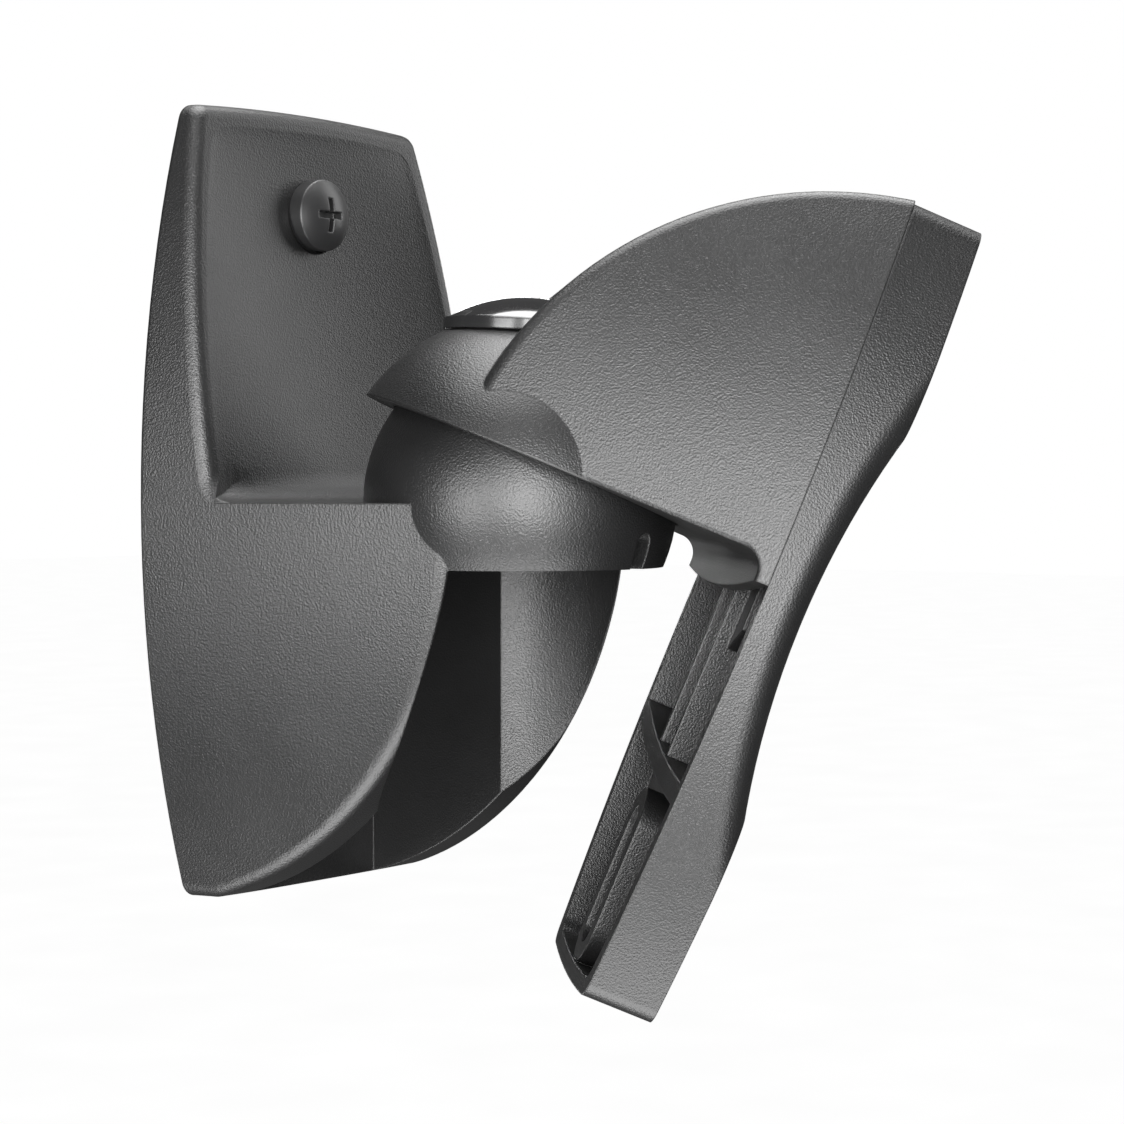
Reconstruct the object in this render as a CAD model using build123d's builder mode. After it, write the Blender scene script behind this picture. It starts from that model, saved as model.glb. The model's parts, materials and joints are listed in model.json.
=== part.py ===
import os
from math import atan, cos, degrees, radians, sin, sqrt

from build123d import *

os.makedirs("parts", exist_ok=True)

# Row frame: X to the right, wall plane at Y = 0, object towards -Y, Z up,
# origin on the wall plane at the height of the ball centre. All sizes in mm.

# Pose of the speaker arm at rest
swivel_deg = 42.16
tilt_deg = 22.85
bolt_lean_deg = 4.0

# Wall base
base_half_height = 59.0
base_mid_half = 34.0
base_end_half = 25.3
edge_arch = 0.9
side_taper = 0.26
corner_r = 3.0
rim_foot_n = 11.4
rim_top_n = 2.9
shelf_corner_r = 5.0
arc_centre_n = -13.1
arc_r = 61.6
blank_over = 1.5
base_depth = arc_centre_n + arc_r + blank_over
slab_thick = 3.0
rim_round = 2.2
arc_round = 2.4
rim_width = 2.4
recess_depth = 1.6
recess_run = 6.5
recess_steep = 1.1
recess_corner_r = 5.0
scoop_r = 5.5

# Ball
ball_reach = 44.0
ball_r = 23.0
ball_inner_r = 19.5
ball_flat_z = -9.4
bolt_hole_r = 5.0
notch_width = 3.0
notch_top_z = -4.2
ball_seam = (35.0, 25.0, 0.0)

# Channel under the ball; both wall screws seat at the depth of its back wall
channel_half = 14.5
screw_seat_n = 2.6
channel_back_n = screw_seat_n

# Wall screws
screw_z = 44.2
screw_head_r = 5.5
screw_head_wall = 3.0
screw_head_height = 4.6
screw_neck_r = 2.55
screw_neck = screw_seat_n
screw_shank_r = 2.3
screw_hole_r = 2.65
screw_reach = 20.0
screw_point = 5.0
spot_face_r = 5.7
recess_span = 5.2
recess_bar = 1.1
recess_deep = 2.2

# Speaker head
cap_gap = 0.3
cap_r = 27.45
cap_rim_z = 5.8
cap_trim = 1.0
seam_r = 33.1
head_mid_half = 33.8
head_end_half = 23.3
head_half_height = 59.9
head_blank_half = head_half_height + 4 * blank_over
head_shift_z = -0.5
flange_thick = 2.0
lip_side_z = 2.0
lip_mid_z = 0.1
lip_corner_r = 3.0
head_arc_centre_r = 43.0
head_arc_centre_z = 4.5
head_arc_r = 56.3
head_reach = seam_r - head_arc_centre_r + head_arc_r + blank_over
head_arc_round = 1.8
head_edge_round = 0.7
cheek_wall = 5.0
head_floor = 2.4
slot_half = 3.5
slot_front_deg = 22.0
slot_rear_deg = 34.0

# Speaker plate
plate_thick = 10.5
plate_corner_r = 3.2
arch_half_chord = 28.0
arch_depth = 3.7
arch_round = 3.8
pocket_depth = 5.0
web_depth = 2.6
plate_wall = 2.3
slot_wall_half = 6.3
slot_bolt_half = 3.2
lower_slot_top = -31.5
lower_slot_end = -59.3
upper_slot_low = -4.7
upper_slot_high = 22.0
upper_slot_half = 4.6
web_half = 12.0
web_low = -11.4
channel_half_x = 5.5
rib_thick = 1.2
rib_drop = 0.5
strap_far_z = -21.2
strap_mid_z = -26.8
strap_near_z = -29.2
strap_half = 1.65
plate_screw_x = 11.0
plate_screw_drop = 17.9
plate_screw_z = head_half_height - plate_screw_drop
boss_r = 4.5

# Clamp
dome_r = 12.6
dome_seat = 26.2
dome_top = 30.0
washer_r = 13.0
washer_bore_r = 9.6
dome_gap = 0.3
shank_r = 2.5
shank_end = 9.0
shoe_r = 9.0
shoe_base = 15.0
nut_flat = 8.0
nut_height = 4.0
drive_span = 6.5
drive_bar = 1.3
drive_deep = 1.3
drive_floor = 0.4

# Plate screws
pin_r = 1.9
pin_neck_r = 2.0
pin_clear_r = 2.1
pin_grip = 5.0
pin_head_r = 3.6
pin_head_height = 2.4
pin_gap = 0.05


# Barrel outline: bowed sides, slightly arched ends and rounded corners
def barrel(mid_half, end_half, half_height, corner, shift):
    top = shift + half_height
    low = shift - half_height
    with BuildSketch() as outline:
        with BuildLine():
            ThreePointArc((end_half, low), (mid_half, shift), (end_half, top))
            ThreePointArc((end_half, top), (0, top + edge_arch), (-end_half, top))
            ThreePointArc((-end_half, top), (-mid_half, shift), (-end_half, low))
            ThreePointArc((-end_half, low), (0, low - edge_arch), (end_half, low))
        make_face()
        fillet(outline.vertices(), corner)
    return outline.sketch


# Screw standing on its seat, head upwards, with a cross recess
def cross_screw(head_r, wall, height, neck_r, neck, shank, length, point, span, bar, deep):
    crown_r = (head_r ** 2 + (height - wall) ** 2) / (2 * (height - wall))
    crown_mid = height - crown_r + sqrt(crown_r ** 2 - (head_r / 2) ** 2)
    with BuildPart() as screw:
        with BuildSketch(Plane.XZ):
            with BuildLine():
                Polyline((0, -length), (shank, point - length), (shank, -neck), (neck_r, -neck),
                         (neck_r, 0), (head_r, 0), (head_r, wall))
                ThreePointArc((head_r, wall), (head_r / 2, crown_mid), (0, height))
                Line((0, height), (0, -length))
            make_face()
        revolve(axis=Axis.Z)
        with BuildSketch(Plane.XY.offset(height)):
            Rectangle(span, bar)
            Rectangle(bar, span)
        extrude(amount=-deep, mode=Mode.SUBTRACT)
    return screw.part


# Planes of the three frames: wall base, speaker arm and clamp
side_local = Plane(origin=(0, 0, 0), x_dir=(0, -1, 0), z_dir=(-1, 0, 0))
side_dir = (cos(radians(swivel_deg)), sin(radians(swivel_deg)), 0)
level_dir = (sin(radians(swivel_deg)), -cos(radians(swivel_deg)), 0)
head_up = (
    level_dir[0] * sin(radians(tilt_deg)),
    level_dir[1] * sin(radians(tilt_deg)),
    cos(radians(tilt_deg)),
)
clamp_up = (
    level_dir[0] * sin(radians(bolt_lean_deg)),
    level_dir[1] * sin(radians(bolt_lean_deg)),
    cos(radians(bolt_lean_deg)),
)
ball_centre = (0, -ball_reach, 0)
head_frame = Plane(origin=ball_centre, x_dir=side_dir, z_dir=head_up)
clamp_frame = Plane(origin=ball_centre, x_dir=side_dir, z_dir=clamp_up)
head_side = Plane(head_frame.location * side_local.location)
seam_plane = Plane(head_frame.location * Plane.XZ.offset(seam_r).location)
flange_plane = Plane(head_frame.location * Plane.XZ.offset(seam_r - flange_thick).location)
tail_plane = Plane(head_frame.location * Plane.XZ.offset(seam_r - head_reach).location)
clamp_side = Plane(clamp_frame.location * side_local.location)

# Outlines of the wall base, at the wall and at its full depth
base_shrink = side_taper * base_depth
base_rear = barrel(base_mid_half, base_end_half, base_half_height, corner_r, 0)
base_front = barrel(base_mid_half - base_shrink, base_end_half - base_shrink, base_half_height, corner_r, 0)
rim_slope = (rim_foot_n - rim_top_n) / base_half_height
sky = 2 * base_half_height

# Panel, whose rounded rim fades out at the sharp edges of the shelf
rim_over_n = rim_foot_n - rim_slope * sky
stub_n = rim_foot_n + 2 * shelf_corner_r
with BuildPart() as panel:
    with BuildSketch(Plane.XZ):
        add(base_rear)
    with BuildSketch(Plane.XZ.offset(base_depth)):
        add(base_front)
    loft(ruled=True)
    with BuildSketch(side_local) as panel_view:
        with BuildLine():
            Polyline((-base_depth, -slab_thick), (stub_n, -slab_thick), (stub_n, 0), (rim_foot_n, 0),
                     (rim_over_n, sky), (-base_depth, sky), close=True)
        make_face()
        fillet(panel_view.vertices().sort_by_distance((rim_foot_n, 0, 0))[0:1], shelf_corner_r)
    extrude(amount=2 * base_mid_half, both=True, mode=Mode.INTERSECT)
    rim_edges = panel.edges().filter_by(
        lambda e: -e.center().Y > rim_top_n - edge_arch and -e.center().Y < stub_n - edge_arch
        and e.center().Z > -edge_arch and (abs(e.center().X) > channel_half or e.center().Z > screw_z)
    )
    fillet(rim_edges, rim_round)
    split(bisect_by=Plane.XY, keep=Keep.TOP)

# Shallow recess of the panel: sloping walls inside the rim and a scoop down to the shelf
rim_lean = degrees(atan(rim_slope))
lean_plane = Plane(
    origin=(0, -rim_foot_n, 0),
    x_dir=(1, 0, 0),
    z_dir=(0, -cos(radians(rim_lean)), sin(radians(rim_lean))),
)


# Outline of the panel inside its rim, seen square on, running on below the shelf
def panel_outline(inset):
    top = base_half_height - inset
    low_half = base_mid_half - side_taper * rim_foot_n - inset
    top_half = base_end_half - side_taper * rim_top_n - inset
    mid_half = (low_half + top_half) / 2 + (base_mid_half - base_end_half) / 4
    with BuildSketch() as outline:
        with BuildLine():
            ThreePointArc((low_half, 0), (mid_half, top / 2), (top_half, top))
            ThreePointArc((top_half, top), (0, top + edge_arch), (-top_half, top))
            ThreePointArc((-top_half, top), (-mid_half, top / 2), (-low_half, 0))
            Polyline((-low_half, 0), (-low_half, -rim_foot_n), (low_half, -rim_foot_n), (low_half, 0))
        make_face()
        fillet(outline.vertices().group_by(Axis.Y)[-1], recess_corner_r)
    return outline.sketch


with BuildPart() as recess:
    with BuildSketch(lean_plane.offset(-recess_depth)):
        add(panel_outline(rim_width + recess_run))
    with BuildSketch(lean_plane.offset(-recess_steep)):
        add(panel_outline(rim_width + recess_run / 2))
    with BuildSketch(lean_plane.offset(2 * scoop_r)):
        add(panel_outline(rim_width - scoop_r * recess_run / recess_steep))
    loft(ruled=True)
    split(bisect_by=Plane.XY, keep=Keep.TOP)
    scoop_edges = recess.edges().filter_by(Axis.X).group_by(Axis.Z)[0].sort_by(Axis.Y)[-1:]
    fillet(scoop_edges, scoop_r)

# Wall base: cheeks, shelf, panel and hollow ball in one moulding
arc_low_z = -sqrt(arc_r ** 2 - arc_centre_n ** 2)
arc_tip_n = arc_centre_n + arc_r
arc_mid = (arc_centre_n + arc_r * cos(radians(45)), -arc_r * sin(radians(45)))
with BuildPart() as wall_base:
    with BuildSketch(Plane.XZ):
        add(base_rear)
    with BuildSketch(Plane.XZ.offset(base_depth)):
        add(base_front)
    loft(ruled=True)
    with BuildSketch(side_local):
        with BuildLine():
            ThreePointArc((0, arc_low_z), arc_mid, (arc_tip_n, 0))
            Polyline((arc_tip_n, 0), (-base_depth, 0), (-base_depth, arc_low_z), (0, arc_low_z))
        make_face()
    extrude(amount=2 * base_mid_half, both=True, mode=Mode.INTERSECT)
    arc_edges = wall_base.edges().filter_by(
        lambda e: e.center().Z < -ball_r and -e.center().Y > 2 * channel_back_n
        and abs(e.center().X) > channel_half and e.length > 2 * corner_r
    )
    fillet(arc_edges, arc_round)
    add(panel.part)
    add(recess.part, mode=Mode.SUBTRACT)
    # Channel that opens downwards
    with BuildSketch(Plane.XY.offset(-slab_thick)):
        with Locations((0, -(channel_back_n + ball_reach) / 2)):
            Rectangle(2 * channel_half, ball_reach - channel_back_n)
    extrude(amount=-sky, mode=Mode.SUBTRACT)
    # Ball, cut flat underneath and hollowed, with a hole for the clamp bolt.
    # Its seam and poles are turned away from the planes of the shelf and the channel.
    with Locations(ball_centre):
        Sphere(ball_r, rotation=ball_seam)
    with BuildSketch(Plane.XY.offset(ball_flat_z)):
        with Locations((0, -ball_reach)):
            Circle(sqrt(ball_r ** 2 - ball_flat_z ** 2))
    extrude(amount=-sky, mode=Mode.SUBTRACT)
    with Locations(ball_centre):
        Sphere(ball_inner_r, rotation=ball_seam, mode=Mode.SUBTRACT)
    with BuildSketch(Plane.XY):
        with Locations((0, -ball_reach)):
            Circle(bolt_hole_r)
    extrude(amount=2 * ball_r, mode=Mode.SUBTRACT)
    # Notch in the front of the ball
    with BuildSketch(Plane.XZ.offset(ball_reach)):
        with Locations((0, notch_top_z - notch_width / 2)):
            Circle(notch_width / 2)
        with Locations((0, ball_flat_z)):
            Rectangle(notch_width, 2 * (notch_top_z - notch_width / 2 - ball_flat_z))
    extrude(amount=2 * ball_r, mode=Mode.SUBTRACT)
    # Wall screw holes, with a spot face on the leaning panel
    with BuildSketch(Plane.XZ):
        with Locations((0, screw_z), (0, -screw_z)):
            Circle(screw_hole_r)
    extrude(amount=rim_foot_n, mode=Mode.SUBTRACT)
    with BuildSketch(Plane.XZ.offset(screw_seat_n)):
        with Locations((0, screw_z)):
            Circle(spot_face_r)
    extrude(amount=rim_foot_n, mode=Mode.SUBTRACT)

wall_base.part.label = "wall_base"
export_step(wall_base.part, "parts/wall_base.step")

# Wall screws: the lower one seats on the back wall of the channel
wall_screw = cross_screw(screw_head_r, screw_head_wall, screw_head_height, screw_neck_r, screw_neck,
                         screw_shank_r, screw_reach, screw_point, recess_span, recess_bar, recess_deep)
upper_seat = Plane(origin=(0, -screw_seat_n, screw_z), x_dir=(1, 0, 0), z_dir=(0, -1, 0))
lower_seat = Plane(origin=(0, -channel_back_n, -screw_z), x_dir=(1, 0, 0), z_dir=(0, -1, 0))
with BuildPart() as wall_screws:
    with Locations(upper_seat, lower_seat):
        add(wall_screw)

wall_screws.part.label = "wall_screws"
export_step(wall_screws.part, "parts/wall_screws.step")

# Outlines of the speaker head, at the seam with the plate and at its tail.
# They run past the ends, where the arc of the cheeks trims them.
bow_drop = head_mid_half - head_end_half
bow_r = (head_half_height ** 2 + bow_drop ** 2) / (2 * bow_drop)
blank_end_half = head_mid_half - bow_r + sqrt(bow_r ** 2 - head_blank_half ** 2)
head_shrink = side_taper * head_reach
flange_shrink = side_taper * flange_thick
inner_mid = head_mid_half - cheek_wall
inner_end = blank_end_half - cheek_wall
head_seam = barrel(head_mid_half, blank_end_half, head_blank_half, corner_r, head_shift_z)
head_tail = barrel(head_mid_half - head_shrink, blank_end_half - head_shrink,
                   head_blank_half, corner_r, head_shift_z)
cavity_seam = barrel(inner_mid - flange_shrink, inner_end - flange_shrink,
                     head_blank_half, corner_r, head_shift_z)
cavity_tail = barrel(inner_mid - head_shrink, inner_end - head_shrink,
                     head_blank_half, corner_r, head_shift_z)

# Cavity between the cheeks, open at the top
with BuildPart() as head_cavity:
    with BuildSketch(flange_plane):
        add(cavity_seam)
    with BuildSketch(tail_plane):
        add(cavity_tail)
    loft(ruled=True)
    with BuildSketch(head_side):
        with Locations((0, cap_rim_z + head_floor)):
            Rectangle(2 * head_reach + 2 * seam_r, sky, align=(Align.CENTER, Align.MIN))
    extrude(amount=base_mid_half, both=True, mode=Mode.INTERSECT)

# Speaker head: cap over the ball, cheeks and flange in one moulding
head_arc_top = (seam_r, head_arc_centre_z + sqrt(head_arc_r ** 2 - (head_arc_centre_r - seam_r) ** 2))
head_arc_mid = (
    head_arc_centre_r - head_arc_r * cos(radians(45)),
    head_arc_centre_z + head_arc_r * sin(radians(45)),
)
head_arc_foot = (
    head_arc_centre_r - sqrt(head_arc_r ** 2 - (cap_rim_z - head_arc_centre_z) ** 2),
    cap_rim_z,
)
lip_face_r = seam_r - flange_thick
lip_under_z = lip_mid_z - flange_thick
with BuildPart() as speaker_head:
    with BuildSketch(seam_plane):
        add(head_seam)
    with BuildSketch(tail_plane):
        add(head_tail)
    loft(ruled=True)
    with BuildSketch(head_side) as head_view:
        with BuildLine():
            ThreePointArc(head_arc_top, head_arc_mid, head_arc_foot)
            Polyline(head_arc_foot, (lip_face_r, cap_rim_z), (lip_face_r, lip_under_z),
                     (seam_r, lip_under_z), head_arc_top)
        make_face()
        fillet(head_view.vertices().sort_by_distance((lip_face_r, cap_rim_z, 0))[0:1], lip_corner_r)
    extrude(amount=2 * base_mid_half, both=True, mode=Mode.INTERSECT)
    # Arched lower edge of the flange
    with BuildSketch(seam_plane):
        with BuildLine():
            ThreePointArc((-head_mid_half, lip_side_z), (0, lip_mid_z), (head_mid_half, lip_side_z))
            Polyline((head_mid_half, lip_side_z), (head_mid_half, sky), (-head_mid_half, sky),
                     (-head_mid_half, lip_side_z))
        make_face()
    extrude(amount=-2 * head_reach, mode=Mode.INTERSECT)
    # Round the arc edges and the lower edges of the cheeks
    arc_head_edges = speaker_head.edges().filter_by(
        lambda e: e.length > base_half_height and head_frame.to_local_coords(e.center()).Z > cap_r
        and -head_frame.to_local_coords(e.center()).Y < cap_r
    )
    fillet(arc_head_edges, head_arc_round)
    low_head_edges = speaker_head.edges().filter_by(
        lambda e: e.length > head_half_height / 2
        and abs(head_frame.to_local_coords(e.center()).Z - cap_rim_z) < head_edge_round
        and abs(head_frame.to_local_coords(e.center()).X) > head_mid_half / 2
    )
    fillet(low_head_edges, head_edge_round)
    add(head_cavity.part, mode=Mode.SUBTRACT)
    # Cap, cut off at its rim and hollowed to clear the ball
    with Locations(head_frame):
        Sphere(cap_r)
    with BuildSketch(head_side):
        with Locations((0, cap_rim_z)):
            Rectangle(2 * cap_r + 2 * cap_trim, 2 * cap_r, align=(Align.CENTER, Align.MAX))
    extrude(amount=2 * cap_r, both=True, mode=Mode.SUBTRACT)
    with Locations(head_frame):
        Sphere(ball_r + cap_gap, mode=Mode.SUBTRACT)
    # Slot for the clamp bolt, along the cap's middle plane
    with BuildSketch(head_side):
        with BuildLine():
            near = ball_r / 2
            far = 2 * cap_r
            a0 = radians(90 - slot_front_deg)
            a1 = radians(90 + slot_rear_deg)
            Polyline((near * cos(a0), near * sin(a0)), (far * cos(a0), far * sin(a0)),
                     (far * cos(a1), far * sin(a1)), (near * cos(a1), near * sin(a1)), close=True)
        make_face()
    extrude(amount=slot_half, both=True, mode=Mode.SUBTRACT)
    # Holes for the screws into the plate
    with BuildSketch(seam_plane):
        with Locations((-plate_screw_x, plate_screw_z), (plate_screw_x, plate_screw_z)):
            Circle(pin_clear_r)
    extrude(amount=-2 * flange_thick, mode=Mode.SUBTRACT)

speaker_head.part.label = "speaker_head"
export_step(speaker_head.part, "parts/speaker_head.step")

# Speaker plate: arched front, ribbed back, one slot in the middle and one below
front_r = seam_r + plate_thick
arch_r = (arch_half_chord ** 2 + arch_depth ** 2) / (2 * arch_depth)
plate_outline = barrel(head_mid_half, head_end_half, head_half_height, plate_corner_r, head_shift_z)
pocket_outline = barrel(head_mid_half - plate_wall, head_end_half - plate_wall,
                        head_half_height - plate_wall, plate_corner_r, head_shift_z)
low_slot_mid = (lower_slot_top + lower_slot_end) / 2
low_slot_length = lower_slot_top - lower_slot_end
up_slot_mid = (upper_slot_low + upper_slot_high) / 2
up_slot_length = upper_slot_high - upper_slot_low
slot_skin = slot_wall_half - slot_bolt_half
rib_mid = (strap_mid_z + upper_slot_high) / 2
rib_length = upper_slot_high - strap_mid_z
with BuildSketch() as strap:
    with BuildLine():
        ThreePointArc((-head_mid_half, strap_near_z + strap_half), (0, strap_mid_z + strap_half),
                      (head_mid_half, strap_far_z + strap_half))
        Line((head_mid_half, strap_far_z + strap_half), (head_mid_half, strap_far_z - strap_half))
        ThreePointArc((head_mid_half, strap_far_z - strap_half), (0, strap_mid_z - strap_half),
                      (-head_mid_half, strap_near_z - strap_half))
        Line((-head_mid_half, strap_near_z - strap_half), (-head_mid_half, strap_near_z + strap_half))
    make_face()
with BuildSketch() as flush_pockets:
    add(pocket_outline)
    add(strap.sketch, mode=Mode.SUBTRACT)
    with Locations((-plate_screw_x, plate_screw_z), (plate_screw_x, plate_screw_z)):
        Circle(boss_r, mode=Mode.SUBTRACT)
with BuildSketch() as ribbed_pockets:
    add(flush_pockets.sketch)
    with Locations((0, low_slot_mid)):
        SlotOverall(low_slot_length, 2 * slot_wall_half, rotation=90, mode=Mode.SUBTRACT)
    with Locations((-channel_half_x, rib_mid), (channel_half_x, rib_mid)):
        Rectangle(rib_thick, rib_length, mode=Mode.SUBTRACT)
with BuildSketch() as deep_pockets:
    add(ribbed_pockets.sketch)
    with BuildLine():
        Polyline((-web_half, upper_slot_high), (-web_half, upper_slot_low), (0, web_low),
                 (web_half, upper_slot_low), (web_half, upper_slot_high), close=True)
    make_face(mode=Mode.SUBTRACT)
with BuildPart() as speaker_plate:
    with BuildSketch(seam_plane):
        add(plate_outline)
    extrude(amount=plate_thick)
    with BuildSketch(head_side):
        with Locations((front_r - arch_depth + arch_r, head_shift_z)):
            Circle(arch_r)
    extrude(amount=2 * head_mid_half, both=True, mode=Mode.SUBTRACT)
    arch_edges = speaker_plate.edges().filter_by(
        lambda e: e.length > arch_half_chord and abs(head_frame.to_local_coords(e.center()).X) > head_end_half
        and abs(head_frame.to_local_coords(e.center()).Z) < arch_depth
        and -head_frame.to_local_coords(e.center()).Y > seam_r + plate_thick / 3
    )
    fillet(arch_edges, arch_round)
    # Pockets of the back at three depths: rib tops, web round the upper slot, floor
    with BuildSketch(seam_plane):
        add(flush_pockets.sketch)
    extrude(amount=rib_drop, mode=Mode.SUBTRACT)
    with BuildSketch(seam_plane):
        add(ribbed_pockets.sketch)
    extrude(amount=web_depth, mode=Mode.SUBTRACT)
    with BuildSketch(seam_plane):
        add(deep_pockets.sketch)
    extrude(amount=pocket_depth, mode=Mode.SUBTRACT)
    # Slots for the speaker's own screws
    with BuildSketch(seam_plane):
        with Locations((0, low_slot_mid)):
            SlotOverall(low_slot_length - 2 * slot_skin, 2 * slot_bolt_half, rotation=90)
        with Locations((0, up_slot_mid)):
            SlotOverall(up_slot_length, 2 * upper_slot_half, rotation=90)
    extrude(amount=plate_thick, mode=Mode.SUBTRACT)
    with BuildSketch(seam_plane):
        with Locations((-plate_screw_x, plate_screw_z), (plate_screw_x, plate_screw_z)):
            Circle(pin_r + pin_gap)
    extrude(amount=pin_grip + pin_gap, mode=Mode.SUBTRACT)

speaker_plate.part.label = "speaker_plate"
export_step(speaker_plate.part, "parts/speaker_plate.step")

# Screws through the flange into the plate's bosses
plate_screw = cross_screw(pin_head_r, pin_head_height / 2, pin_head_height, pin_neck_r, flange_thick,
                          pin_r, pin_grip + flange_thick, pin_r, recess_span, recess_bar, pin_head_height / 2)
left_pin = Plane(
    head_frame.location * Location((-plate_screw_x, -lip_face_r, plate_screw_z)) * Plane.XZ.location
    * Location((0, 0, 0), (180, 0, 0))
)
right_pin = Plane(
    head_frame.location * Location((plate_screw_x, -lip_face_r, plate_screw_z)) * Plane.XZ.location
    * Location((0, 0, 0), (180, 0, 0))
)
with BuildPart() as plate_screws:
    with Locations(left_pin, right_pin):
        add(plate_screw)

plate_screws.part.label = "plate_screws"
export_step(plate_screws.part, "parts/plate_screws.step")

# Clamp bolt: low dome with a cross recess, hollow underneath to clear the cap
dome_crown_r = (dome_r ** 2 + (dome_top - dome_seat) ** 2) / (2 * (dome_top - dome_seat))
dome_mid = dome_top - dome_crown_r + sqrt(dome_crown_r ** 2 - (dome_r / 2) ** 2)
dome_plane = Plane(clamp_frame.location * Plane.XY.offset(dome_top).location)
with BuildPart() as clamp_bolt:
    with BuildSketch(clamp_side):
        with BuildLine():
            Polyline((0, dome_seat), (dome_r, dome_seat))
            ThreePointArc((dome_r, dome_seat), (dome_r / 2, dome_mid), (0, dome_top))
            Line((0, dome_top), (0, dome_seat))
        make_face()
    revolve(axis=Axis(ball_centre, clamp_up))
    with Locations(clamp_frame):
        Sphere(cap_r + dome_gap, mode=Mode.SUBTRACT)
    with BuildSketch(dome_plane):
        Rectangle(drive_span, drive_bar)
        Rectangle(drive_bar, drive_span)
    extrude(amount=-drive_deep, mode=Mode.SUBTRACT)
    with BuildSketch(Plane(clamp_frame.location * Plane.XY.offset(shank_end).location)):
        Circle(shank_r)
    extrude(amount=dome_top - drive_deep - drive_floor - shank_end)

clamp_bolt.part.label = "clamp_bolt"
export_step(clamp_bolt.part, "parts/clamp_bolt.step")

# Saddle washer: flat under the dome, hollow over the cap
with BuildPart() as saddle_washer:
    with BuildSketch(Plane(clamp_frame.location * Plane.XY.offset(dome_seat).location)):
        Circle(washer_r)
        Circle(washer_bore_r, mode=Mode.SUBTRACT)
    extrude(amount=-dome_seat / 2)
    with Locations(clamp_frame):
        Sphere(cap_r + dome_gap, mode=Mode.SUBTRACT)

saddle_washer.part.label = "saddle_washer"
export_step(saddle_washer.part, "parts/saddle_washer.step")

# Clamp shoe: domed washer inside the hollow ball
with BuildPart() as clamp_shoe:
    with BuildSketch(Plane(clamp_frame.location * Plane.XY.offset(shoe_base).location)):
        Circle(shoe_r)
        Circle(shank_r + pin_gap, mode=Mode.SUBTRACT)
    extrude(amount=ball_inner_r - shoe_base)
    with Locations(clamp_frame):
        Sphere(ball_inner_r - cap_gap, mode=Mode.INTERSECT)

clamp_shoe.part.label = "clamp_shoe"
export_step(clamp_shoe.part, "parts/clamp_shoe.step")

# Clamp nut on the end of the bolt
with BuildPart() as clamp_nut:
    with BuildSketch(Plane(clamp_frame.location * Plane.XY.offset(shoe_base).location)):
        RegularPolygon(nut_flat / 2, 6, major_radius=False)
        Circle(shank_r + pin_gap, mode=Mode.SUBTRACT)
    extrude(amount=-nut_height)

clamp_nut.part.label = "clamp_nut"
export_step(clamp_nut.part, "parts/clamp_nut.step")
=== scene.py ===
"""Dress the speaker wall bracket: finishes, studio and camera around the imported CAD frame."""

import json
import logging
import math
from dataclasses import dataclass, field
from enum import Enum
from typing import Any

import bmesh
import bpy
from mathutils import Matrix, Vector

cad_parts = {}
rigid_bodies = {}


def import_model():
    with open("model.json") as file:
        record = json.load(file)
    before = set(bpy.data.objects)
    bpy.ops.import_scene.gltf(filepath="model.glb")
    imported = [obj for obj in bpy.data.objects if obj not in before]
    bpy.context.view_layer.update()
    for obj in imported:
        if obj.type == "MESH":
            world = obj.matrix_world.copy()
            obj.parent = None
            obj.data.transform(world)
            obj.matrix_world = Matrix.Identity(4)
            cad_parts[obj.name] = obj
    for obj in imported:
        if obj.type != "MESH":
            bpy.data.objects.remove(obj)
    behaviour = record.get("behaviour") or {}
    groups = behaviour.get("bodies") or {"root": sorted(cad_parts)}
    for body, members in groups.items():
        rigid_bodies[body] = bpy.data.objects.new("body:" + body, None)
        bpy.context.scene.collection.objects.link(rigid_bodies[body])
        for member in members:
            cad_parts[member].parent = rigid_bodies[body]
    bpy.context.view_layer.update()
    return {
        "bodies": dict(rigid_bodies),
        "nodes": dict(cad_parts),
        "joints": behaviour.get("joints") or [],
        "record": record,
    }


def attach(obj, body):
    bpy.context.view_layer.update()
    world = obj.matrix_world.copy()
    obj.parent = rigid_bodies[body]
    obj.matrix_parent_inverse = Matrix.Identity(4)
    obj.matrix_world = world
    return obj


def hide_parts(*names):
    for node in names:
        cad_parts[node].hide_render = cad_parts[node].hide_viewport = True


LOG = logging.getLogger("bracket")
MM = 0.001
SHELF_TOP = 0.5 * MM
PANEL_REACH = 11.0 * MM
PANEL_FADE = 1.5 * MM
CUT_TOLERANCE = 0.001 * MM
CLOUD_LOW = 0.3
CLOUD_HIGH = 0.7
Colour = tuple[float, float, float]


class Slot(str, Enum):
    """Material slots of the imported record."""

    MOULDING = "moulding"
    DARK_SCREW = "dark_screw"
    GLOSS_DOME = "gloss_dome"
    COLLAR = "collar"
    INNER_STEEL = "inner_steel"


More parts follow.
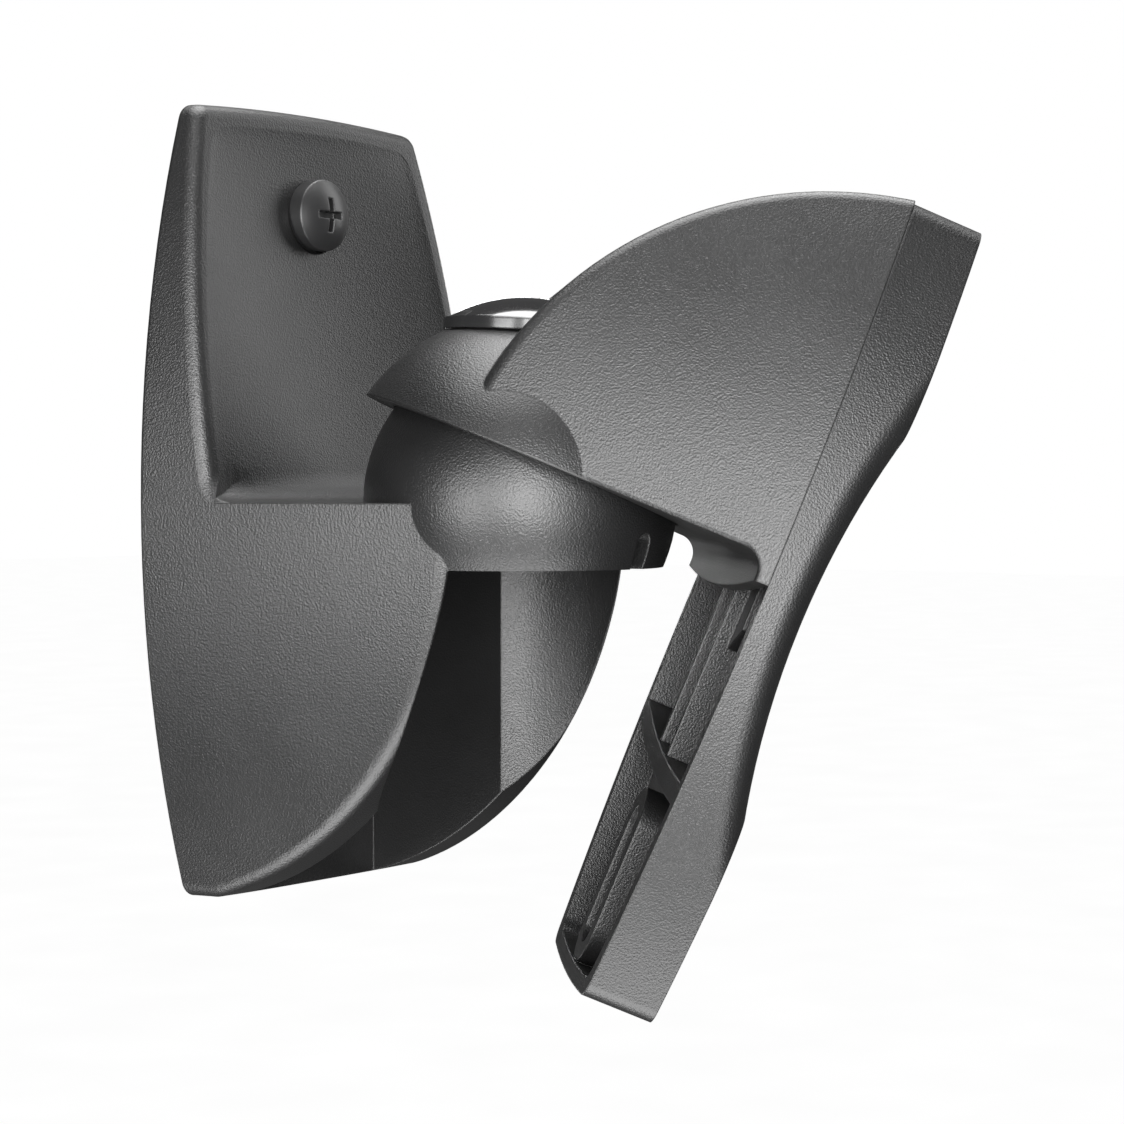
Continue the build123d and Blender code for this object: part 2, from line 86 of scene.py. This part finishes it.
class Graph:
    """Short helper that adds and links shader nodes in one material."""

    def __init__(self, name: str) -> None:
        """Start an empty node material.

        Args:
            name: name of the new material.
        """
        self.material = bpy.data.materials.new(name)
        self.material.use_nodes = True
        self.tree = self.material.node_tree
        self.tree.nodes.clear()

    def node(self, kind: str, settings: dict[str, Any] | None = None, **sockets: Any) -> bpy.types.Node:
        """Add one node.

        Args:
            kind: Blender's node type name.
            settings: properties to set on the node itself.
            sockets: input socket names, with spaces as underscores, and their values or links.

        Returns:
            The new node.
        """
        made = self.tree.nodes.new(kind)
        for key, value in (settings or {}).items():
            setattr(made, key, value)
        for key, value in sockets.items():
            target = made.inputs[key.replace("_", " ")]
            if isinstance(value, bpy.types.NodeSocket):
                self.tree.links.new(value, target)
            else:
                target.default_value = value
        return made

    def pair(self, kind: str, operation: str, first: bpy.types.NodeSocket,
             second: bpy.types.NodeSocket) -> bpy.types.Node:
        """Add a maths node that takes two linked values.

        Args:
            kind: Blender's node type name.
            operation: what the node does with the two values.
            first: socket of the first value.
            second: socket of the second value.

        Returns:
            The new node.
        """
        made = self.node(kind, {"operation": operation})
        self.tree.links.new(first, made.inputs[0])
        self.tree.links.new(second, made.inputs[1])
        return made

    def ramp(self, source: bpy.types.NodeSocket, low: float, high: float,
             start: Colour, end: Colour) -> bpy.types.NodeSocket:
        """Map a value to a colour between two stops.

        Args:
            source: the value's socket.
            low: position of the first stop.
            high: position of the second stop.
            start: linear colour at the first stop.
            end: linear colour at the second stop.

        Returns:
            The ramp's colour socket.
        """
        made = self.node("ShaderNodeValToRGB", Fac=source)
        for stop, position, colour in zip(made.color_ramp.elements, (low, high), (start, end)):
            stop.position = position
            stop.color = (*colour, 1.0)
        return made.outputs["Color"]

    def close(self, shader: bpy.types.Node) -> bpy.types.Material:
        """Link a shader to the material's output.

        Args:
            shader: the surface shader.

        Returns:
            The finished material.
        """
        out = self.node("ShaderNodeOutputMaterial")
        self.tree.links.new(shader.outputs["BSDF"], out.inputs["Surface"])
        return self.material


@dataclass(frozen=True)
class Grained:
    """Moulded plastic with a fine leather grain, or a satin, gloss or bare metal surface.

    Attributes:
        name: material name.
        albedo: mean linear grey.
        tint: multipliers of red, green and blue.
        roughness: base roughness.
        rough_spread: change of the roughness to either side over the surface.
        grain_cells: grain cells per metre.
        grain_detail: finer layers in the grain.
        grain_depth: height of the grain in metres.
        pebble_share: pebbles of the grain for each of its cells.
        pebble_blend: how far neighbouring pebbles run together.
        clouds: clouds of the mottle per metre.
        cloud_detail: finer layers in those clouds.
        mottle: relative change of albedo over the surface.
        edge_radius: radius that softens hard edges, in metres.
        edge_samples: rays that find those edges.
        edge_turn: cosines of the normal's turn where the painted edge highlight is full and where it is
            gone.
        edge_highlight_share: share of the painted highlight colour on an edge.
        edge_highlight_gain: multiplier of the albedo in the painted highlight on an edge.
        dish_radius: radius that softens the slopes of the wall panel, in metres, or 0 for none.
        metallic: metallic value.
        coat: clear coat weight.
    """

    name: str
    albedo: float
    tint: Colour = (1.0, 1.0, 1.02)
    roughness: float = 0.5
    rough_spread: float = 0.05
    grain_cells: float = 1500.0
    grain_detail: float = 2.0
    grain_depth: float = 0.06 * MM
    pebble_share: float = 0.8
    pebble_blend: float = 0.6
    clouds: float = 70.0
    cloud_detail: float = 4.0
    mottle: float = 0.12
    edge_radius: float = 0.4 * MM
    edge_samples: int = 6
    edge_turn: tuple[float, float] = (0.86, 0.99)
    edge_highlight_share: float = 0.35
    edge_highlight_gain: float = 1.7
    dish_radius: float = 0.0
    metallic: float = 0.0
    coat: float = 0.0

    def grey(self, scale: float) -> Colour:
        """Give a tinted grey at a scale of the albedo.

        Args:
            scale: multiplier of the albedo.

        Returns:
            Linear red, green and blue.
        """
        return tuple(min(1.0, self.albedo * scale * part) for part in self.tint)

    def softness(self, graph: Graph, place: bpy.types.NodeSocket) -> float | bpy.types.NodeSocket:
        """Give the edge radius, wider in front of the wall panel and above the shelf.

        Args:
            graph: material under construction.
            place: object coordinates.

        Returns:
            A plain radius, or the socket of one that changes with the place.
        """
        if not self.dish_radius:
            return self.edge_radius
        axes = graph.node("ShaderNodeSeparateXYZ", Vector=place)
        height = graph.node("ShaderNodeMapRange", Value=axes.outputs["Z"],
                            From_Min=SHELF_TOP, From_Max=SHELF_TOP + PANEL_FADE)
        reach = graph.node("ShaderNodeMapRange", Value=axes.outputs["Y"],
                           From_Min=-PANEL_REACH, From_Max=PANEL_FADE - PANEL_REACH)
        both = graph.pair("ShaderNodeMath", "MULTIPLY", height.outputs[0], reach.outputs[0])
        return graph.node("ShaderNodeMapRange", Value=both.outputs[0],
                          To_Min=self.edge_radius, To_Max=self.dish_radius).outputs[0]

    def relief(self, graph: Graph, place: bpy.types.NodeSocket) -> bpy.types.NodeSocket:
        """Give the height of the fine grain.

        Args:
            graph: material under construction.
            place: object coordinates.

        Returns:
            Socket of the height.
        """
        grain = graph.node("ShaderNodeTexNoise", Vector=place, Scale=self.grain_cells,
                           Detail=self.grain_detail)
        pebbles = graph.node("ShaderNodeTexVoronoi", {"feature": "SMOOTH_F1"}, Vector=place,
                             Scale=self.grain_cells * self.pebble_share, Smoothness=self.pebble_blend)
        height = graph.pair("ShaderNodeMath", "ADD", grain.outputs["Fac"], pebbles.outputs["Distance"])
        return height.outputs[0]

    def colour(self, graph: Graph, cloud: bpy.types.NodeSocket,
               soft: bpy.types.NodeSocket) -> bpy.types.NodeSocket:
        """Give the mottled colour, with a painted highlight that lightens the edges a little.

        Args:
            graph: material under construction.
            cloud: value of the clouds.
            soft: softened normal.

        Returns:
            Socket of the colour.
        """
        mottled = graph.ramp(cloud, CLOUD_LOW, CLOUD_HIGH, self.grey(1 - self.mottle),
                             self.grey(1 + self.mottle))
        # Painted highlight: the base colour turns lighter where the softened normal turns away from the
        # true one, so the edges look lit.
        true_normal = graph.node("ShaderNodeNewGeometry").outputs["Normal"]
        turn = graph.pair("ShaderNodeVectorMath", "DOT_PRODUCT", soft, true_normal).outputs["Value"]
        edge = graph.ramp(turn, *self.edge_turn, (self.edge_highlight_share,) * 3, (0.0,) * 3)
        painted_edge_highlight = graph.node("ShaderNodeMix", {"data_type": "RGBA", "blend_type": "MIX"})
        # A Mix node's colour sockets share their names with others, so they are taken by place.
        share, plain, light = (painted_edge_highlight.inputs[index] for index in (0, 6, 7))
        graph.tree.links.new(edge, share)
        graph.tree.links.new(mottled, plain)
        light.default_value = (*self.grey(self.edge_highlight_gain), 1.0)
        return painted_edge_highlight.outputs[2]

    def build(self) -> bpy.types.Material:
        """Make the node material.

        Returns:
            The finished material.
        """
        graph = Graph(self.name)
        place = graph.node("ShaderNodeTexCoord").outputs["Object"]
        soft = graph.node("ShaderNodeBevel", {"samples": self.edge_samples},
                          Radius=self.softness(graph, place)).outputs["Normal"]
        bump = graph.node("ShaderNodeBump", Strength=1.0, Distance=self.grain_depth,
                          Height=self.relief(graph, place), Normal=soft)
        cloud = graph.node("ShaderNodeTexNoise", Vector=place, Scale=self.clouds,
                           Detail=self.cloud_detail).outputs["Fac"]
        rough = graph.node("ShaderNodeMapRange", Value=cloud, To_Min=self.roughness - self.rough_spread,
                           To_Max=self.roughness + self.rough_spread)
        return graph.close(graph.node(
            "ShaderNodeBsdfPrincipled", Base_Color=self.colour(graph, cloud, soft),
            Roughness=rough.outputs[0], Normal=bump.outputs["Normal"], Metallic=self.metallic,
            Coat_Weight=self.coat))


FINISHES: dict[Slot, Grained] = {
    Slot.MOULDING: Grained("charcoal_grain", albedo=0.005, roughness=0.39, grain_cells=4200.0,
                           grain_depth=0.04 * MM, dish_radius=0.6 * MM),
    Slot.DARK_SCREW: Grained("satin_black_screw", albedo=0.012, roughness=0.36, grain_depth=0.004 * MM),
    Slot.GLOSS_DOME: Grained("gloss_black_dome", albedo=0.012, roughness=0.12, grain_depth=0.001 * MM,
                             coat=0.6),
    Slot.COLLAR: Grained("gloss_black_collar", albedo=0.012, roughness=0.2, grain_depth=0.002 * MM),
    Slot.INNER_STEEL: Grained("zinc_steel", albedo=0.55, roughness=0.35, grain_depth=0.008 * MM,
                              metallic=1.0),
}


@dataclass
class Assembly:
    """One rigid body of the bracket and the finishes of its nodes.

    Attributes:
        body: name of the CAD body.
        finishes: record slot of each node.
    """

    body: str
    finishes: dict[str, Slot] = field(default_factory=dict)

    def dress(self, frame: dict[str, Any], made: dict[Slot, bpy.types.Material]) -> None:
        """Give each CAD node its finish.

        Args:
            made: built materials by slot.
        """
        for name, slot in self.finishes.items():
            node = frame["nodes"][name]
            node.data.materials.clear()
            node.data.materials.append(made[slot])
            LOG.info("%s: %s wears %s", self.body, name, slot.value)


class WallSide(Assembly):
    """Wall base with its ball, and the wall screws."""

    def __init__(self) -> None:
        """Name the body's nodes and their finishes."""
        super().__init__("wall", {"wall_base": Slot.MOULDING, "wall_screws": Slot.DARK_SCREW})


class ClampStack(Assembly):
    """Domed bolt, collar, shoe and nut."""

    def __init__(self) -> None:
        """Name the body's nodes and their finishes."""
        super().__init__("clamp", {"clamp_bolt": Slot.GLOSS_DOME, "saddle_washer": Slot.COLLAR,
                                   "clamp_shoe": Slot.INNER_STEEL, "clamp_nut": Slot.INNER_STEEL})


class SpeakerArm(Assembly):
    """Capped head, ribbed plate and the screws between them."""

    def __init__(self) -> None:
        """Name the body's nodes and their finishes."""
        super().__init__("speaker_arm", {"speaker_head": Slot.MOULDING, "speaker_plate": Slot.MOULDING,
                                         "plate_screws": Slot.DARK_SCREW})


@dataclass(frozen=True)
class PanelDish:
    """Rounds the stepped recess of the wall panel into one smooth dish.

    Attributes:
        foot: distance of the rim from the wall at the shelf.
        top: distance of the rim from the wall at the panel's upper end.
        height: height of the panel's upper end above the shelf.
        halves: half widths inside the rim at the shelf, half way up and at the top.
        reach: length of the recess up the leaning panel.
        arch: rise of the upper edge at its middle.
        depth: depth of the dish at its deepest place.
        deepest: height of that place.
        lift: share of the depth that is lost towards the shelf.
        step: depth of the small step inside the rim.
        fall: width over which that step falls.
        tray: widths and depths of the recess in the solid, from its rim to its floor.
        scoop: height of the rounded foot, over which the dish fades out.
        cell: spacing of the cuts that refine the mesh.
        rim_skin: depth below which a face belongs to the recess and not to the rim.
        floor_facing: least cosine between the panel's direction and a face of the recess.
        scoop_facing: the same on the rounded foot.
    """

    foot: float = 11.4 * MM
    top: float = 2.9 * MM
    height: float = 59.0 * MM
    halves: tuple[float, float, float] = (28.6 * MM, 27.5 * MM, 22.1 * MM)
    reach: float = 56.6 * MM
    arch: float = 0.9 * MM
    depth: float = 2.4 * MM
    deepest: float = 30.0 * MM
    lift: float = 0.6
    step: float = 0.1 * MM
    fall: float = 0.8 * MM
    tray: tuple[tuple[float, float], ...] = ((0.0, 0.0), (3.25 * MM, 1.1 * MM), (6.5 * MM, 1.6 * MM))
    scoop: float = 5.2 * MM
    cell: float = 1.2 * MM
    rim_skin: float = 0.002 * MM
    floor_facing: float = 0.8
    scoop_facing: float = 0.2

    def corner(self) -> Vector:
        """Give the middle of the rim's line at the shelf."""
        return Vector((0.0, -self.foot, 0.0))

    def axes(self) -> tuple[Vector, Vector]:
        """Give the direction out of the leaning panel and the one up along it.

        Returns:
            Two unit vectors.
        """
        lean = math.atan((self.foot - self.top) / self.height)
        return Vector((0.0, -math.cos(lean), math.sin(lean))), Vector((0.0, math.sin(lean), math.cos(lean)))

    def place(self, point: Vector) -> tuple[float, float, float]:
        """Turn a point into panel coordinates.

        Args:
            point: point in the row frame.

        Returns:
            Distance across, distance up along the panel, and depth below the rim.
        """
        out, rise = self.axes()
        offset = point - self.corner()
        return offset.x, offset.dot(rise), -offset.dot(out)

    def half(self, up: float) -> float:
        """Half width of the recess at a height.

        Args:
            up: distance up along the panel.

        Returns:
            Half width in metres, on the parabola through the three half widths.
        """
        t = up / self.reach
        low, mid, top = self.halves
        return low * (1 - t) * (1 - 2 * t) + mid * 4 * t * (1 - t) + top * t * (2 * t - 1)

    def edge(self, across: float, up: float) -> float:
        """Distance of a place from the rim's inner edge.

        Args:
            across: distance from the panel's middle line.
            up: distance up along the panel.

        Returns:
            Distance from the nearest of the two sides and the upper end.
        """
        side = self.half(up)
        end = self.reach + self.arch * (1 - (across / side) ** 2)
        return max(0.0, min(side - abs(across), end - up))

    def dished(self, across: float, up: float) -> float:
        """Depth of the smooth dish.

        Args:
            across: distance from the panel's middle line.
            up: distance up along the panel.

        Returns:
            Depth below the rim, 0 at the rim itself.
        """
        bow = max(0.0, 1 - (across / self.half(up)) ** 2)
        if up > self.deepest:
            fade = (up - self.deepest) / (self.reach + self.arch * bow - self.deepest)
            bowl = max(0.0, 1 - fade ** 2)
        else:
            bowl = 1 - self.lift * (1 - up / self.deepest) ** 2
        return self.depth * bow * bowl + self.step * (1 - math.exp(-self.edge(across, up) / self.fall))

    def stepped(self, across: float, up: float) -> float:
        """Depth of the recess in the solid.

        Args:
            across: distance from the panel's middle line.
            up: distance up along the panel.

        Returns:
            Depth below the rim.
        """
        edge = self.edge(across, up)
        for (near, shallow), (far, deep) in zip(self.tray, self.tray[1:]):
            if edge < far:
                return shallow + (deep - shallow) * (edge - near) / (far - near)
        return self.tray[-1][1]

    def inside(self, face: bmesh.types.BMFace) -> bool:
        """Tell whether a face belongs to the recess and may be reshaped.

        Args:
            face: face of the wall base.

        Returns:
            True for the floor and the sloping walls of the recess.
        """
        across, up, deep = self.place(face.calc_center_median())
        if up < 0 or up > self.reach + self.arch or abs(across) > self.half(up):
            return False
        facing = face.normal.dot(self.axes()[0])
        if up < self.scoop:
            return deep > -self.scoop and facing > self.scoop_facing
        return self.rim_skin < deep < self.depth and facing > self.floor_facing

    @staticmethod
    def cut(shape: bmesh.types.BMesh, faces: list[bmesh.types.BMFace], spot: Vector,
            normal: Vector) -> None:
        """Cut some faces along a plane.

        Args:
            shape: mesh of the wall base.
            faces: faces to cut.
            spot: point on the plane.
            normal: direction across the plane.
        """
        edges = {edge for face in faces for edge in face.edges}
        verts = {vert for face in faces for vert in face.verts}
        bmesh.ops.bisect_plane(shape, geom=[*verts, *edges, *faces], dist=CUT_TOLERANCE,
                               plane_co=spot, plane_no=normal)

    def recess(self, shape: bmesh.types.BMesh) -> list[bmesh.types.BMFace]:
        """Find the recess and cut it into small cells.

        Args:
            shape: mesh of the wall base.

        Returns:
            The faces of the recess.
        """
        mark = shape.faces.layers.int.new("recess")
        out, rise = self.axes()
        corner = self.corner()
        side = Vector((1.0, 0.0, 0.0))
        panel = [face for face in shape.faces if self.place(face.calc_center_median())[1] > 0
                 and face.normal.dot(out) > self.floor_facing]
        self.cut(shape, panel, corner + rise * self.scoop, rise)
        for face in shape.faces:
            face[mark] = int(self.inside(face))
        rows = int((self.reach - self.scoop) / self.cell) + 1
        columns = int(self.halves[0] / self.cell)
        planes = [(corner + rise * (self.scoop + k * self.cell), rise) for k in range(rows)]
        planes += [(corner + side * (k * self.cell), side) for k in range(-columns, columns + 1)]
        for spot, normal in planes:
            self.cut(shape, [face for face in shape.faces if face[mark]], spot, normal)
        return [face for face in shape.faces if face[mark]]

    def press(self, recess: list[bmesh.types.BMFace]) -> None:
        """Move the recess from its stepped depth to the smooth one, easing in over the rounded foot.

        Args:
            recess: faces of the recess.
        """
        out = self.axes()[0]
        for vert in {vert for face in recess for vert in face.verts}:
            across, up, deep = self.place(vert.co)
            t = min(1.0, max(0.0, up / self.scoop))
            solid = deep if t == 1.0 else self.stepped(across, up)
            vert.co += out * t * t * (3 - 2 * t) * (solid - self.dished(across, up))

    def build(self, node: bpy.types.Object) -> bpy.types.Object:
        """Make the dished copy of the wall base, which keeps the CAD normals outside the recess.

        Args:
            node: CAD node of the wall base.

        Returns:
            The copy, riding the wall body in the node's place.
        """
        copy = node.copy()
        copy.data = node.data.copy()
        copy.name = "wall_base_dished"
        bpy.context.scene.collection.objects.link(copy)
        shape = bmesh.new()
        shape.from_mesh(copy.data)
        kept = shape.loops.layers.float_vector.new("kept_normal")
        for face, polygon in zip(shape.faces, node.data.polygons):
            for loop, index in zip(face.loops, polygon.loop_indices):
                loop[kept] = node.data.corner_normals[index].vector
        recess = self.recess(shape)
        self.press(recess)
        shape.normal_update()
        sums: dict[bmesh.types.BMVert, Vector] = {}
        for face in recess:
            for vert in face.verts:
                sums[vert] = sums.get(vert, Vector()) + face.normal * face.calc_area()
        for face in recess:
            for loop in face.loops:
                loop[kept] = sums[loop.vert].normalized()
        normals = [loop[kept].normalized() for face in shape.faces for loop in face.loops]
        LOG.info("dished panel: %d faces reshaped", len(recess))
        shape.to_mesh(copy.data)
        shape.free()
        copy.data.polygons.foreach_set("use_smooth", [True] * len(copy.data.polygons))
        copy.data.normals_split_custom_set(normals)
        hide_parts(node.name)
        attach(copy, "wall")
        return copy


@dataclass(frozen=True)
class Viewpoint:
    """A place around the bracket, given by its direction and distance.

    Attributes:
        azimuth: degrees to the right of the wall's outward direction.
        elevation: degrees above the horizontal.
        distance: metres from the aim point.
    """

    azimuth: float
    elevation: float
    distance: float

    def face(self, thing: bpy.types.Object, aim: Vector) -> None:
        """Put an object here, facing the aim point, and add it to the scene.

        Args:
            thing: light or camera.
            aim: point that it faces.
        """
        az, el = math.radians(self.azimuth), math.radians(self.elevation)
        towards = Vector((math.sin(az) * math.cos(el), -math.cos(az) * math.cos(el), math.sin(el)))
        thing.location = aim + towards * self.distance
        thing.rotation_euler = (aim - thing.location).to_track_quat("-Z", "Y").to_euler()
        bpy.context.scene.collection.objects.link(thing)


@dataclass(frozen=True)
class Lamp:
    """One soft area light that the camera doesn't see.

    Attributes:
        name: object name.
        spot: where it stands.
        width: level side of the light in metres.
        height: other side of the light in metres.
        glow: radiance of its face.
    """

    name: str
    spot: Viewpoint
    width: float
    height: float
    glow: float

    def build(self, aim: Vector) -> None:
        """Add the light.

        Args:
            aim: point that the light faces.
        """
        data = bpy.data.lights.new(self.name, "AREA")
        data.shape = "RECTANGLE"
        data.size = self.width
        data.size_y = self.height
        data.energy = self.glow * math.pi * self.width * self.height
        lamp = bpy.data.objects.new(self.name, data)
        lamp.visible_camera = False
        self.spot.face(lamp, aim)


@dataclass(frozen=True)
class Studio:
    """Pale floor, white surroundings, soft lights and the photo's camera.

    Attributes:
        aim: point that the camera and the lights face.
        view: where the photo was taken from.
        focal_px: focal length in pixels of the photo.
        photo_px: width of the photo in pixels.
        sensor_mm: width of the camera's sensor.
        clip_start: nearest distance that the camera sees, in metres.
        floor_drop: distance of the floor below the bracket, in metres.
        floor_span: side of the floor in metres.
        floor_clouds: clouds of the floor's faint mottle per metre.
        floor_tones: linear greys of that mottle.
        floor_roughness: roughness of the floor.
        floor_glow: strength of the floor's own light, which keeps it pale from every side.
        surround: strength of the dim surroundings that light the bracket.
        lamps: the soft lights.
    """

    aim: tuple[float, float, float] = (0.0, -51.7 * MM, -8.6 * MM)
    view: Viewpoint = Viewpoint(-52.8, 1.8, 391.8 * MM)
    focal_px: float = 2700.0
    photo_px: float = 1124.0
    sensor_mm: float = 36.0
    clip_start: float = 0.01
    floor_drop: float = 1.2
    floor_span: float = 60.0
    floor_clouds: float = 3.0
    floor_tones: tuple[float, float] = (0.93, 0.95)
    floor_roughness: float = 0.9
    floor_glow: float = 0.98
    surround: float = 0.07
    lamps: tuple[Lamp, ...] = (
        Lamp("left_softbox", Viewpoint(-90.0, 0.0, 0.36), width=0.16, height=0.16, glow=17.0),
        Lamp("front_softbox", Viewpoint(-50.0, 5.0, 0.36), width=0.16, height=0.23, glow=19.0),
        Lamp("front_fill", Viewpoint(-30.0, 0.0, 0.36), width=0.16, height=0.24, glow=6.5),
        Lamp("high_left", Viewpoint(-70.0, 15.0, 0.36), width=0.16, height=0.16, glow=3.5),
        Lamp("right_softbox", Viewpoint(66.0, 24.0, 0.7), width=0.36, height=0.6, glow=3.1),
        Lamp("top_softbox", Viewpoint(-20.0, 86.0, 0.5), width=0.5, height=0.4, glow=8.0),
        Lamp("rear_softbox", Viewpoint(127.0, 66.0, 0.5), width=0.4, height=0.2, glow=6.0),
        Lamp("table_bounce", Viewpoint(-58.0, -64.0, 0.5), width=0.6, height=0.4, glow=9.0),
        Lamp("white_backdrop", Viewpoint(116.0, 5.0, 0.8), width=0.5, height=0.2, glow=6.0),
        Lamp("back_fill", Viewpoint(180.0, -22.0, 0.9), width=0.6, height=0.4, glow=4.0),
    )

    def build(self) -> None:
        """Add floor, world, lights and camera."""
        self.floor()
        self.world()
        for lamp in self.lamps:
            lamp.build(Vector(self.aim))
        self.camera()
        LOG.info("studio: %d soft lights", len(self.lamps))

    def floor(self) -> None:
        """Add the plain pale floor well below the bracket, which neither lights it nor mirrors in it."""
        bpy.ops.mesh.primitive_plane_add(size=self.floor_span, location=(0.0, 0.0, -self.floor_drop))
        plane = bpy.context.object
        plane.name = "floor"
        graph = Graph("pale_floor")
        place = graph.node("ShaderNodeTexCoord").outputs["Object"]
        cloud = graph.node("ShaderNodeTexNoise", Vector=place, Scale=self.floor_clouds).outputs["Fac"]
        tone = graph.ramp(cloud, CLOUD_LOW, CLOUD_HIGH, *((grey,) * 3 for grey in self.floor_tones))
        plane.data.materials.append(graph.close(graph.node(
            "ShaderNodeBsdfPrincipled", Base_Color=tone, Roughness=self.floor_roughness,
            Emission_Color=tone, Emission_Strength=self.floor_glow)))
        plane.visible_diffuse = False
        plane.visible_glossy = False

    def world(self) -> None:
        """Set a white backdrop, and dim surroundings for the light that falls on the bracket."""
        world = bpy.data.worlds.new("white_studio")
        world.use_nodes = True
        tree = world.node_tree
        tree.nodes.clear()
        path = tree.nodes.new("ShaderNodeLightPath")
        choice = tree.nodes.new("ShaderNodeMixShader")
        share, *shaders = choice.inputs
        tree.links.new(path.outputs["Is Camera Ray"], share)
        for shader, strength in zip(shaders, (self.surround, 1.0)):
            light = tree.nodes.new("ShaderNodeBackground")
            light.inputs["Color"].default_value = (1.0, 1.0, 1.0, 1.0)
            light.inputs["Strength"].default_value = strength
            tree.links.new(light.outputs[0], shader)
        out = tree.nodes.new("ShaderNodeOutputWorld")
        tree.links.new(choice.outputs[0], out.inputs["Surface"])
        bpy.context.scene.world = world
        bpy.context.scene.view_settings.view_transform = "Standard"

    def camera(self) -> None:
        """Put the camera where the photo was taken from."""
        data = bpy.data.cameras.new("photo_camera")
        data.sensor_width = self.sensor_mm
        data.lens = data.sensor_width * self.focal_px / self.photo_px
        data.clip_start = self.clip_start
        camera = bpy.data.objects.new("photo_camera", data)
        self.view.face(camera, Vector(self.aim))
        bpy.context.scene.camera = camera


def main() -> None:
    """Load the frame, dress each assembly and set the studio."""
    logging.basicConfig(level=logging.INFO, format="%(name)s: %(message)s")
    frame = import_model()
    made = {slot: finish.build() for slot, finish in FINISHES.items()}
    for assembly in (WallSide(), ClampStack(), SpeakerArm()):
        assembly.dress(frame, made)
    PanelDish().build(frame["nodes"]["wall_base"])
    Studio().build()


if __name__ == "__main__":
    main()
